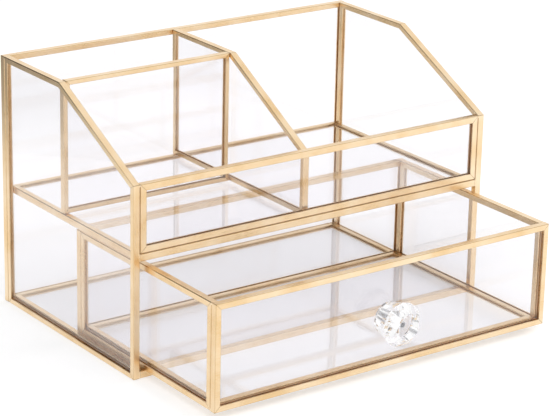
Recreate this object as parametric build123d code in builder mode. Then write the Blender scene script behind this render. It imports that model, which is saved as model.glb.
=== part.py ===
from build123d import *
import math
import os

# A clear vanity organizer: a case of framed glass panels with an open tray above a drawer.
# The front faces -Y. The origin is the middle of the underside of the case's front bottom rail.

# Case, over the outside of its channels
case_width = 280.0
case_depth = 162.5
case_height = 172.4
front_height = 128.5
knee_from_front = 87.7
tray_top = 83.2

# Folded brass channel that edges every pane, with flanges of its own width on each kind of panel
channel = 4.9
level_flange = 3.8
side_flange = 3.5
back_flange = 3.6
front_flange = 4.4
inner_flange = 2.9
drawer_flange = 3.9
sheet = 0.75
bend_radius = 0.6
mitre_gap = 0.1
panel_gap = 0.3

# Panes, loose in their channels by the edge gap
glass = 3.0
edge_gap = 0.2

# Divider across the depth and partition from it to the left side
divider_from_left = 131.4
divider_front_drop = 1.7

# Drawer and the clearances it runs with
drawer_side_gap = 3.0
drawer_top_gap = 2.5
drawer_back_gap = 1.1
drawer_running_gap = 0.3
drawer_open = 78.7

# Knob in the middle of the drawer's front pane
knob_above_bottom = 33.2
knob_seat_gap = 0.1
knob_rim_radius = 11.0
knob_rim_thickness = 1.6
knob_radius = 14.5
knob_girdle = 13.5
knob_table_radius = 8.0
knob_reach = 21.0
knob_facets = 8
insert_length = 9.5
insert_wall = 0.7
insert_gap = 0.05
screw_radius = 1.5
screw_clearance = 0.1
screw_engagement = 7.5
screw_head_radius = 3.0
screw_head_height = 2.0
screw_slot_width = 0.9
screw_slot_depth = 1.0
washer_radius = 4.5
washer_thickness = 0.7

half_width = case_width / 2
inner_half = half_width - channel
front_y = -level_flange / 2
back_y = front_y + case_depth
back_face_y = back_y - channel
knee_y = front_y + knee_from_front
tray_underside = tray_top - channel
divider_x = divider_from_left - half_width
divider_front_height = front_height - divider_front_drop

drawer_half = inner_half - drawer_side_gap
drawer_front_y = front_y - drawer_open
drawer_back_y = back_face_y - drawer_back_gap - drawer_open
drawer_bottom = channel + drawer_running_gap
drawer_top = tray_underside - drawer_top_gap
knob_z = drawer_bottom + knob_above_bottom
insert_radius = screw_radius + screw_clearance + insert_wall
pane_front_y = drawer_front_y + (channel - glass) / 2
pane_back_y = pane_front_y + glass


def rectangle(low, high):
    """Corners of an upright rectangle, anticlockwise."""
    return [low, (high[0], low[1]), high, (low[0], high[1])]


def channel_rail(panel, outline, side, flange):
    """One mitred length of folded channel along one side of a panel's outline."""
    corners = [panel.from_local_coords(Vector(x, y, 0)) for x, y in outline]
    before, start, end, after = [corners[(side + step) % len(corners)] for step in (-1, 0, 1, 2)]
    along = (end - start).normalized()
    inward = panel.z_dir.cross(along)
    with BuildPart() as rail:
        with BuildSketch(Plane(origin=start, x_dir=inward, z_dir=along)) as section:
            Rectangle(flange, channel, align=(Align.MIN, Align.CENTER))
            fillet(section.vertices().group_by(Axis.X)[0], radius=bend_radius)
            with Locations((sheet, 0)):
                Rectangle(
                    flange - sheet,
                    channel - 2 * sheet,
                    align=(Align.MIN, Align.CENTER),
                    mode=Mode.SUBTRACT,
                )
        extrude(amount=(end - start).length)
        for corner, inside, neighbour in ((start, end, before), (end, start, after)):
            into_rail = (inside - corner).normalized() - (neighbour - corner).normalized()
            start_of_cut = corner + into_rail.normalized() * mitre_gap / 2
            split(bisect_by=Plane(origin=start_of_cut, z_dir=into_rail), keep=Keep.TOP)
    return rail.part


def pane(panel, outline):
    """The glass that fills a panel's channels, short of their webs by the edge gap."""
    with BuildPart() as sheet_of_glass:
        with BuildSketch(panel):
            with BuildLine():
                Polyline(*outline, close=True)
            make_face()
            offset(amount=-(sheet + edge_gap), kind=Kind.INTERSECTION)
        extrude(amount=glass / 2, both=True)
    return sheet_of_glass.part


def save(part, name):
    part.label = name
    export_step(part, f"parts/{name}.step")


def facing_x(x):
    """Mid plane of a panel that stands across X, drawn as (Y, Z)."""
    return Plane(origin=(x, 0, 0), x_dir=(0, 1, 0), z_dir=(1, 0, 0))


def facing_y(y):
    """Mid plane of a panel that stands across Y, drawn as (X, Z)."""
    return Plane(origin=(0, y, 0), x_dir=(1, 0, 0), z_dir=(0, -1, 0))


def lying(z):
    """Mid plane of a level panel, drawn as (X, Y)."""
    return Plane.XY.offset(z)


os.makedirs("parts", exist_ok=True)

# Case panels: mid plane, outline, flange, and a name for each side of the outline in turn.
# Neighbouring panels stand off each other by the hairline that the solder bridges.
stile_names = ["bottom", "right", "top", "left"]
level_names = ["front", "right", "rear", "left"]
sloped_names = ["bottom", "rear", "top", "slope", "front"]
between_half = inner_half - panel_gap
rear_y = back_face_y - panel_gap
on_tray = tray_top + panel_gap
behind_front_y = front_y + channel + panel_gap
side_outline = [
    (front_y, 0),
    (rear_y, 0),
    (rear_y, case_height),
    (knee_y, case_height),
    (front_y, front_height),
]
divider_outline = [
    (behind_front_y, on_tray),
    (rear_y, on_tray),
    (rear_y, case_height),
    (knee_y, case_height),
    (behind_front_y, divider_front_height),
]
case_panels = {
    "left_side": (facing_x(-half_width + channel / 2), side_outline, side_flange, sloped_names),
    "right_side": (facing_x(half_width - channel / 2), side_outline, side_flange, sloped_names),
    "back": (
        facing_y(back_y - channel / 2),
        rectangle((-half_width, 0), (half_width, case_height)),
        back_flange,
        stile_names,
    ),
    "front": (
        facing_y(front_y + channel / 2),
        rectangle((-between_half, on_tray), (between_half, front_height)),
        front_flange,
        stile_names,
    ),
    "tray": (
        lying(tray_top - channel / 2),
        rectangle((-between_half, front_y), (between_half, rear_y)),
        level_flange,
        level_names,
    ),
    "base": (
        lying(channel / 2),
        rectangle((-between_half, front_y), (between_half, rear_y)),
        level_flange,
        level_names,
    ),
    "divider": (facing_x(divider_x + channel / 2), divider_outline, inner_flange, sloped_names),
    "partition": (
        facing_y(knee_y + channel / 2),
        rectangle((-between_half, on_tray), (divider_x - panel_gap, case_height)),
        inner_flange,
        stile_names,
    ),
}
for panel_name, (panel, outline, flange, side_names) in case_panels.items():
    for side, side_name in enumerate(side_names):
        save(channel_rail(panel, outline, side, flange), f"{panel_name}_{side_name}_rail")
    save(pane(panel, outline), f"{panel_name}_pane")

# Drawer panels: the front and back run the full width, with the sides and floor between them
drawer_width_outline = rectangle((-drawer_half, drawer_bottom), (drawer_half, drawer_top))
drawer_side_outline = rectangle(
    (drawer_front_y + channel + panel_gap, drawer_bottom),
    (drawer_back_y - channel - panel_gap, drawer_top),
)
drawer_panels = {
    "drawer_front": (facing_y(drawer_front_y + channel / 2), drawer_width_outline),
    "drawer_back": (facing_y(drawer_back_y - channel / 2), drawer_width_outline),
    "drawer_left": (facing_x(-drawer_half + channel / 2), drawer_side_outline),
    "drawer_right": (facing_x(drawer_half - channel / 2), drawer_side_outline),
    "drawer_floor": (
        lying(drawer_bottom + channel / 2),
        rectangle(
            (-drawer_half + channel + panel_gap, drawer_front_y + channel + panel_gap),
            (drawer_half - channel - panel_gap, drawer_back_y - channel - panel_gap),
        ),
    ),
}
for panel_name, (panel, outline) in drawer_panels.items():
    rails = [channel_rail(panel, outline, side, drawer_flange) for side in range(len(outline))]
    save(Compound(children=rails), f"{panel_name}_frame")
    if panel_name != "drawer_front":
        save(pane(panel, outline), f"{panel_name}_pane")

# The front pane is drilled for the knob's screw
front_panel, front_outline = drawer_panels["drawer_front"]
drilled_face = Plane(origin=(0, pane_front_y, knob_z), x_dir=(1, 0, 0), z_dir=(0, -1, 0))
with BuildPart() as front_pane:
    add(pane(front_panel, front_outline))
    with Locations(drilled_face):
        Hole(radius=screw_radius + screw_clearance)
save(front_pane.part, "drawer_front_pane")


def knob_plane(reach):
    """Plane across the knob's axis at a distance out from the front pane."""
    return Plane(origin=(0, pane_front_y - reach, knob_z), x_dir=(1, 0, 0), z_dir=(0, -1, 0))


def facet(angle, radius, reach, slope_out, slope_forward):
    """Plane of one facet at an angle round the knob, tilted by its two slopes."""
    outward = Vector(math.cos(angle), 0, math.sin(angle))
    point = Vector(0, pane_front_y - reach, knob_z) + outward * radius
    return Plane(origin=point, z_dir=outward * slope_out + Vector(0, -slope_forward, 0))


# Crystal: a round rim by the pane, facets that flare to the girdle, and a crown cut to a flat table.
# It stands off the pane by a hairline, because the screw clamps the metal insert.
flare_length = knob_girdle - knob_rim_thickness
flare = knob_radius - knob_rim_radius
crown = knob_reach - knob_girdle
taper = knob_radius - knob_table_radius
step = 2 * math.pi / knob_facets
with BuildPart() as crystal:
    with BuildSketch(knob_plane(knob_rim_thickness)):
        Circle(knob_radius)
    extrude(amount=knob_reach - knob_rim_thickness)
    for turn in range(knob_facets):
        main = turn * step
        between = main + step / 2
        quarter = main + step / 4
        split(bisect_by=facet(main, knob_radius, knob_girdle, crown, taper), keep=Keep.BOTTOM)
        split(bisect_by=facet(between, knob_table_radius, knob_reach, taper, crown), keep=Keep.BOTTOM)
        for flat in (quarter, quarter + step / 2):
            radius = knob_radius * math.cos(step / 4)
            split(bisect_by=facet(flat, radius, knob_girdle, flare_length, -flare), keep=Keep.BOTTOM)
    with BuildSketch(knob_plane(knob_seat_gap)):
        Circle(knob_rim_radius)
    extrude(amount=knob_rim_thickness - knob_seat_gap)
    with BuildSketch(knob_plane(0)):
        Circle(insert_radius + insert_gap)
    extrude(amount=insert_length + insert_gap, mode=Mode.SUBTRACT)
save(crystal.part, "knob_crystal")

# Threaded metal insert that lines the crystal's socket
with BuildPart() as insert:
    with BuildSketch(knob_plane(0)):
        Circle(insert_radius)
        Circle(screw_radius + screw_clearance, mode=Mode.SUBTRACT)
    extrude(amount=insert_length)
save(insert.part, "knob_insert")

# Slotted screw from inside the drawer, through washer and pane into the insert
head_face = Plane(origin=(0, pane_back_y + washer_thickness, knob_z), x_dir=(1, 0, 0), z_dir=(0, 1, 0))
with BuildPart() as screw:
    with BuildSketch(head_face):
        Circle(screw_head_radius)
    extrude(amount=screw_head_height)
    with BuildSketch(head_face.offset(screw_head_height)):
        Rectangle(2 * screw_head_radius, screw_slot_width)
    extrude(amount=-screw_slot_depth, mode=Mode.SUBTRACT)
    with BuildSketch(head_face):
        Circle(screw_radius)
    extrude(amount=-(washer_thickness + glass + screw_engagement))
save(screw.part, "knob_screw")

with BuildPart() as washer:
    with BuildSketch(head_face.offset(-washer_thickness)):
        Circle(washer_radius)
        Circle(screw_radius + screw_clearance, mode=Mode.SUBTRACT)
    extrude(amount=washer_thickness)
save(washer.part, "knob_washer")
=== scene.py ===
import math
import bpy
from mathutils import Matrix, Vector


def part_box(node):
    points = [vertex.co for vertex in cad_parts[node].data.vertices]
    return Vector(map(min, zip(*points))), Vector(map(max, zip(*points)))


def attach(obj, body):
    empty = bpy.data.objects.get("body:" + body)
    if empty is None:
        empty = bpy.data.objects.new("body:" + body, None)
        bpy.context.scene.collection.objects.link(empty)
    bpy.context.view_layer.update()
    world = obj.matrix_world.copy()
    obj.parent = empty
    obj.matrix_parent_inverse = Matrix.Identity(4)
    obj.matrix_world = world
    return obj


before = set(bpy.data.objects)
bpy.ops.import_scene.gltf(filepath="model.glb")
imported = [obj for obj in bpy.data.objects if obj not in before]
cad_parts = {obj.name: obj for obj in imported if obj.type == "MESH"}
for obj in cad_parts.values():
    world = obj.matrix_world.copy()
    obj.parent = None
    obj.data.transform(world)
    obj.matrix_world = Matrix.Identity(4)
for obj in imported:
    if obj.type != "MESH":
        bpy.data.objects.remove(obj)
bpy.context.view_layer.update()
bpy.ops.object.select_all(action="DESELECT")


# Camera. The organizer is seen from the front left and from a little above,
# through a long lens about a metre and a half away.
azimuth = math.radians(-36.14)
elevation = math.radians(19.45)
roll = math.radians(1.29)
distance = 1.4823
aim = Vector((-0.03308, -0.0019, 0.09442))
backward = Vector((
    math.sin(azimuth) * math.cos(elevation),
    -math.cos(azimuth) * math.cos(elevation),
    math.sin(elevation),
))
level_right = Vector((math.cos(azimuth), math.sin(azimuth), 0))
level_up = backward.cross(level_right)
right = level_right * math.cos(roll) + level_up * math.sin(roll)
up = level_up * math.cos(roll) - level_right * math.sin(roll)
lens = bpy.data.cameras.new("camera")
lens.lens = 151.95
lens.sensor_width = 36
lens.clip_start = 0.05
lens.clip_end = 30
camera = bpy.data.objects.new("camera", lens)
bpy.context.scene.collection.objects.link(camera)
camera.matrix_world = (
    Matrix.Translation(aim + backward * distance)
    @ Matrix((right, up, backward)).transposed().to_4x4()
)
bpy.context.scene.camera = camera


# Channels. Thin brass sheet is folded to a U, cut to mitred lengths and soldered round each pane.
# The rolling leaves a fine grain along each length, and handling dulls the flats. The bends and sharp
# edges are painted darker, as painted dark reflection and shade along them.
class Value:
    """A socket of a finish. Arithmetic on it adds Math nodes."""

    def __init__(self, finish, socket):
        self.finish = finish
        self.socket = socket

    def math(self, operation, *terms):
        return self.finish.node("ShaderNodeMath", {"operation": operation}, dict(enumerate(terms)))

    def __add__(self, other):
        return self.math("ADD", self, other)

    def __sub__(self, other):
        return self.math("SUBTRACT", self, other)

    def __rsub__(self, other):
        return self.math("SUBTRACT", other, self)

    def __mul__(self, other):
        return self.math("MULTIPLY", self, other)

    __radd__ = __add__
    __rmul__ = __mul__


class Finish:
    """A material, or the room's light, that is built up node by node."""

    def __init__(self, name, kind=bpy.data.materials):
        self.made = kind.new(name)
        self.made.use_nodes = True
        self.tree = self.made.node_tree
        self.tree.nodes.clear()

    def node(self, kind, settings, sockets, output=0):
        """Adds a node, with its settings first, and gives back one of its outputs."""
        made = self.tree.nodes.new(kind)
        for name, value in settings.items():
            setattr(made, name, value)
        for name, value in sockets.items():
            if isinstance(value, Value):
                self.tree.links.new(value.socket, made.inputs[name])
            else:
                made.inputs[name].default_value = value
        return Value(self, made.outputs[output])

    def ramp(self, factor, *stops):
        """A colour that follows a value between stops of position and colour."""
        made = self.node("ShaderNodeValToRGB", {}, {"Fac": factor})
        band = made.socket.node.color_ramp
        for number, (position, colour) in enumerate(stops):
            stop = band.elements[number] if number < 2 else band.elements.new(position)
            stop.position = position
            stop.color = (*colour, 1)
        return made

    def seen(self):
        """One where the eye, shiny metal or glass looks, and nought where light only scatters."""
        rays = self.node("ShaderNodeLightPath", {}, {}).socket.node.outputs
        eye, mirror, through = (
            Value(self, rays[name]) for name in ("Is Camera Ray", "Is Glossy Ray", "Is Transmission Ray")
        )
        return self.node(
            "ShaderNodeMath", {"operation": "ADD", "use_clamp": True}, {0: eye + mirror, 1: through}
        )

    def finish(self, shader, end="ShaderNodeOutputMaterial"):
        last = self.tree.nodes.new(end)
        self.tree.links.new(shader.socket, last.inputs["Surface"])
        return self.made


brass_deep = (0.83, 0.59, 0.32)
brass_plain = (0.90, 0.68, 0.425)
brass_pale = (0.95, 0.77, 0.54)
# Painted dark reflection and shade: the colour laid along the bends and sharp edges of the channels.
brass_painted_dark_line = (0.30, 0.18, 0.07)


def channel_brass(name, tilt, stretch):
    """Brass whose grain runs along the axis with the small stretch, after a turn by tilt about X."""
    brass = Finish(name)
    place = brass.node("ShaderNodeTexCoord", {}, {}, 3)
    along = brass.node(
        "ShaderNodeMapping", {}, {"Vector": place, "Rotation": (tilt, 0, 0), "Scale": stretch}
    )
    grain = brass.node(
        "ShaderNodeTexNoise", {}, {"Vector": along, "Scale": 2600.0, "Detail": 4.0, "Roughness": 0.6}
    )
    cloud = brass.node(
        "ShaderNodeTexNoise", {}, {"Vector": place, "Scale": 42.0, "Detail": 3.0, "Roughness": 0.55}
    )
    soft = brass.node("ShaderNodeBevel", {"samples": 4}, {"Radius": 0.00035})
    flat = brass.node("ShaderNodeNewGeometry", {}, {}, 1)
    together = brass.node("ShaderNodeVectorMath", {"operation": "DOT_PRODUCT"}, {0: soft, 1: flat}, 1)
    edge = brass.node(
        "ShaderNodeMapRange", {}, {"Value": together, "From Min": 0.99, "From Max": 0.88}
    )
    level = brass.node(
        "ShaderNodeMapping", {"vector_type": "NORMAL"}, {"Vector": flat, "Rotation": (tilt, 0, 0)}
    )
    faces = brass.node("ShaderNodeVectorMath", {"operation": "ABSOLUTE"}, {0: level})
    parts = brass.node("ShaderNodeSeparateXYZ", {}, {"Vector": faces}).socket.node.outputs
    across, back, upright = (Value(brass, part) for part in parts)
    most = across.math("MAXIMUM", across, across.math("MAXIMUM", back, upright))
    bend = brass.node("ShaderNodeMapRange", {}, {"Value": most, "From Min": 0.985, "From Max": 0.9})
    tone = cloud * 0.7 + grain * 0.3
    body = brass.ramp(tone, (0.36, brass_deep), (0.5, brass_plain), (0.66, brass_pale))
    # Painted dark reflection and shade: the bends and sharp edges are painted a dark brass instead of
    # the grain's colour.
    painted_dark_edges = brass.node(
        "ShaderNodeMix",
        {"data_type": "RGBA"},
        {0: edge * 0.6 + bend * 0.3, 6: body, 7: (*brass_painted_dark_line, 1)},
        2,
    )
    rough = 0.18 + grain * 0.12 + cloud * 0.1 + edge * 0.1 - bend * 0.18
    relief = brass.node(
        "ShaderNodeBump",
        {},
        {"Height": grain * 0.7 + cloud * 0.3, "Strength": 0.12, "Distance": 0.00002, "Normal": soft},
    )
    return brass.finish(
        brass.node(
            "ShaderNodeBsdfPrincipled",
            {},
            {"Base Color": painted_dark_edges, "Metallic": 1.0, "Roughness": rough, "Normal": relief},
        )
    )


slope_rise = 0.0439
slope_run = 0.0877
slope = math.atan2(slope_rise, slope_run)
grain_across = channel_brass("brass_across", 0, (0.03, 1, 1))
grain_back = channel_brass("brass_front_to_back", 0, (1, 0.03, 1))
grain_up = channel_brass("brass_upright", 0, (1, 1, 0.03))
grain_slope = channel_brass("brass_sloping", -slope, (1, 0.03, 1))
for name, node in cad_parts.items():
    if name.endswith(("_rail", "_frame")):
        low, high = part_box(name)
        reach = [high[axis] - low[axis] for axis in range(3)]
        if name.endswith("slope_rail"):
            brass = grain_slope
        else:
            brass = (grain_across, grain_back, grain_up)[reach.index(max(reach))]
        for slot in node.material_slots:
            slot.material = brass


# Panes. Clear float glass three millimetres thick lies loose in the channels.
# It is a little grey seen through, faintly wavy, and has soft smears where hands have been.
def float_glass(name, tint, deeper):
    pane = Finish(name)
    place = pane.node("ShaderNodeTexCoord", {}, {}, 3)
    wave = pane.node("ShaderNodeTexNoise", {}, {"Vector": place, "Scale": 14.0, "Detail": 1.0})
    smear = pane.node(
        "ShaderNodeTexNoise", {}, {"Vector": place, "Scale": 55.0, "Detail": 3.0, "Distortion": 0.8}
    )
    colour = pane.ramp(wave, (0.3, deeper), (0.7, tint))
    relief = pane.node("ShaderNodeBump", {}, {"Height": wave, "Strength": 0.1, "Distance": 0.0002})
    clear = pane.node(
        "ShaderNodeBsdfPrincipled",
        {},
        {
            "Base Color": colour,
            "Roughness": smear * 0.01,
            "IOR": 1.5,
            "Transmission Weight": 1.0,
            "Normal": relief,
        },
    )
    shaded = pane.node("ShaderNodeBsdfTransparent", {}, {"Color": colour})
    shadow = pane.node("ShaderNodeLightPath", {}, {}, 1)
    return pane.finish(pane.node("ShaderNodeMixShader", {}, {0: shadow, 1: clear, 2: shaded}))


glass = float_glass("pane_glass", (0.980, 0.974, 0.986), (0.970, 0.964, 0.976))
for name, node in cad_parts.items():
    if name.endswith("_pane"):
        for slot in node.material_slots:
            slot.material = glass


# Solder. Soft solder under the same plating joins the framed panels to one another at their corners.
# It fills the seam for a few millimetres there and is wiped flush with the channels while it is warm.
solder = Finish("plated_solder")
place = solder.node("ShaderNodeTexCoord", {}, {}, 3)
lumps = solder.node("ShaderNodeTexNoise", {}, {"Vector": place, "Scale": 700.0, "Detail": 2.0})
wiped = solder.node("ShaderNodeBump", {}, {"Height": lumps, "Strength": 0.3, "Distance": 0.00004})
plated_solder = solder.finish(
    solder.node(
        "ShaderNodeBsdfPrincipled",
        {},
        {
            "Base Color": solder.ramp(lumps, (0.35, brass_plain), (0.65, brass_pale)),
            "Metallic": 1.0,
            "Roughness": 0.2 + lumps * 0.15,
            "Normal": wiped,
        },
    )
)
# Each fillet has its body, its name and two opposite corners in millimetres, on the left side.
fillets = (
    ("case", "tray_front", (-135.65, -1.89, 78.5), (-134.6, -1.2, 83.3)),
    ("case", "base_front", (-135.65, -1.89, 0.2), (-134.6, -1.2, 4.7)),
    ("case", "front_top", (-135.65, -1.89, 127.0), (-134.25, -1.2, 128.2)),
    ("case", "back_top", (-139.5, 154.85, 171.7), (-135.6, 156.25, 172.39)),
    ("case", "back_side", (-139.99, 154.85, 170.6), (-139.3, 156.25, 172.0)),
    ("drawer", "drawer_front_top", (-131.6, -76.25, 75.1), (-127.7, -74.85, 75.79)),
    ("drawer", "drawer_front_side", (-132.09, -76.25, 74.0), (-131.4, -74.85, 75.5)),
    ("drawer", "drawer_front_foot", (-132.09, -76.25, 5.5), (-131.4, -74.85, 7.0)),
    ("drawer", "drawer_back_top", (-131.6, 70.15, 75.1), (-127.7, 71.55, 75.79)),
    ("drawer", "drawer_back_side", (-132.09, 70.15, 74.0), (-131.4, 71.55, 75.5)),
)
millimetre = 0.001
wiped_edge = 0.00015
for body, name, low, high in fillets:
    low, high = Vector(low) * millimetre, Vector(high) * millimetre
    middle = (low + high) / 2
    bpy.ops.mesh.primitive_cube_add(size=1, location=middle, scale=high - low)
    left = bpy.context.object
    left.name = f"solder_{name}_left"
    bpy.ops.object.transform_apply(location=True, rotation=True, scale=True)
    bpy.ops.object.mode_set(mode="EDIT")
    bpy.ops.mesh.select_all(action="SELECT")
    bpy.ops.mesh.bevel(offset=wiped_edge, segments=2, affect="EDGES")
    bpy.ops.mesh.normals_make_consistent(inside=False)
    bpy.ops.object.mode_set(mode="OBJECT")
    bpy.ops.object.shade_smooth()
    left.data.materials.append(plated_solder)
    # The fillet is the same shape both ways round, so the right-hand one is a copy slid across.
    bpy.ops.object.duplicate()
    right_hand = bpy.context.object
    right_hand.name = f"solder_{name}_right"
    right_hand.location.x = -2 * middle.x
    bpy.ops.object.transform_apply(location=True)
    for fillet in (left, right_hand):
        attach(fillet, body)


# Knob. The cut crystal is cast in one piece round a threaded steel insert.
# A slotted screw and a washer hold it to the drawer's front pane from inside.
crystal = float_glass("knob_crystal", (0.965, 0.965, 0.97), (0.95, 0.95, 0.957))
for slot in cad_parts["knob_crystal"].material_slots:
    slot.material = crystal

plating = Finish("bright_plating")
place = plating.node("ShaderNodeTexCoord", {}, {}, 3)
turned = plating.node(
    "ShaderNodeTexNoise", {}, {"Vector": place, "Scale": 900.0, "Detail": 3.0}
)
shine = plating.ramp(turned, (0.35, (0.56, 0.56, 0.57)), (0.65, (0.74, 0.74, 0.75)))
scratch = plating.node("ShaderNodeBump", {}, {"Height": turned, "Strength": 0.2, "Distance": 0.00003})
bright_plating = plating.finish(
    plating.node(
        "ShaderNodeBsdfPrincipled",
        {},
        {
            "Base Color": shine,
            "Metallic": 1.0,
            "Roughness": 0.16 + turned * 0.14,
            "Normal": scratch,
        },
    )
)
for name in ("knob_insert", "knob_screw", "knob_washer"):
    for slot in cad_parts[name].material_slots:
        slot.material = bright_plating


# Floor. A white sweep of smooth card runs under the organizer and on behind it.
# It is lit like the rest, and keeps the shadow, and shows as white to the eye, metal and glass.
bpy.ops.mesh.primitive_plane_add(size=8, location=(0, 0, -0.0002))
floor = bpy.context.object
floor.name = "studio_floor"
card = Finish("white_card")
place = card.node("ShaderNodeTexCoord", {}, {}, 3)
pulp = card.node("ShaderNodeTexNoise", {}, {"Vector": place, "Scale": 60.0, "Detail": 3.0})
white = card.ramp(pulp, (0.3, (0.60, 0.60, 0.603)), (0.7, (0.62, 0.62, 0.623)))
lit = card.node("ShaderNodeBsdfDiffuse", {}, {"Color": white})
glow = card.node("ShaderNodeEmission", {}, {"Color": (1, 1, 1, 1), "Strength": card.seen() * 0.49})
floor.data.materials.append(
    card.finish(card.node("ShaderNodeAddShader", {}, {0: lit, 1: glow}))
)

# Dark card. It stands behind on the left, out of sight, where shiny metal and glass mirror it
# and the bends of the channels show as thin dark lines.
screen_radius = 0.46
screen_height = 0.66
screen_middle = Vector((0, 0.08, 0.331))
left_end = -72
right_end = -12
bpy.ops.mesh.primitive_cylinder_add(
    vertices=96,
    radius=screen_radius,
    depth=screen_height,
    end_fill_type="NOTHING",
    location=screen_middle,
)
screen = bpy.context.object
screen.name = "studio_dark_card"
bpy.ops.object.transform_apply(location=True)
bpy.ops.object.mode_set(mode="EDIT")
bpy.ops.mesh.select_all(action="DESELECT")
bpy.ops.object.mode_set(mode="OBJECT")
for side in screen.data.polygons:
    bearing = math.degrees(math.atan2(side.center.x, side.center.y - screen_middle.y))
    side.select = not left_end < bearing < right_end
bpy.ops.object.mode_set(mode="EDIT")
bpy.ops.mesh.delete(type="FACE")
bpy.ops.object.mode_set(mode="OBJECT")
screen.visible_camera = False
screen.visible_diffuse = False
screen.visible_shadow = False
glowing_shade_card = Finish("dark_card")
place = glowing_shade_card.node("ShaderNodeTexCoord", {}, {}, 3)
height = glowing_shade_card.node("ShaderNodeSeparateXYZ", {}, {"Vector": place}, 2)
rise = glowing_shade_card.node("ShaderNodeMapRange", {}, {"Value": height, "From Min": 0.0, "From Max": 0.22})
# The card glows rather than being lit: painted shade, pale at its foot and dark higher up, stands in for
# the unlit side of the room.
shade = glowing_shade_card.ramp(
    rise, (0.0, (0.95, 0.95, 0.95)), (0.2, (0.45, 0.45, 0.45)), (1.0, (0.05, 0.045, 0.04))
)
screen.data.materials.append(
    glowing_shade_card.finish(glowing_shade_card.node("ShaderNodeEmission", {}, {"Color": shade, "Strength": 1.0}))
)

# Light. A bright room all round, and two large soft lamps over the front and the right.
# The lamps are neither mirrored nor seen through glass, so brass and crystal show the room alone.
room = Finish("studio", bpy.data.worlds)
scattered = room.node("ShaderNodeBackground", {}, {"Color": (1, 1, 1, 1), "Strength": 0.64})
shown = room.node("ShaderNodeBackground", {}, {"Color": (1, 1, 1, 1), "Strength": 1.0})
bpy.context.scene.world = room.finish(
    room.node("ShaderNodeMixShader", {}, {0: room.seen(), 1: scattered, 2: shown}),
    "ShaderNodeOutputWorld",
)

lit_spot = Vector((0, 0.03, 0.08))
for name, spot, size, power in (
    ("lamp_front", (-0.7, -1.6, 1.9), 1.6, 26),
    ("lamp_right", (1.8, -0.2, 1.5), 1.4, 16),
):
    lamp = bpy.data.lights.new(name, "AREA")
    lamp.size = size
    lamp.energy = power
    holder = bpy.data.objects.new(name, lamp)
    bpy.context.scene.collection.objects.link(holder)
    holder.visible_glossy = False
    holder.visible_transmission = False
    holder.location = spot
    holder.rotation_euler = (lit_spot - Vector(spot)).to_track_quat("-Z", "Y").to_euler()

bpy.context.scene.view_settings.view_transform = "Standard"

# The crystal goes black where light is cut off before it has found its way out.
bpy.context.scene.cycles.max_bounces = 32
bpy.context.scene.cycles.transmission_bounces = 32
bpy.context.scene.cycles.glossy_bounces = 24
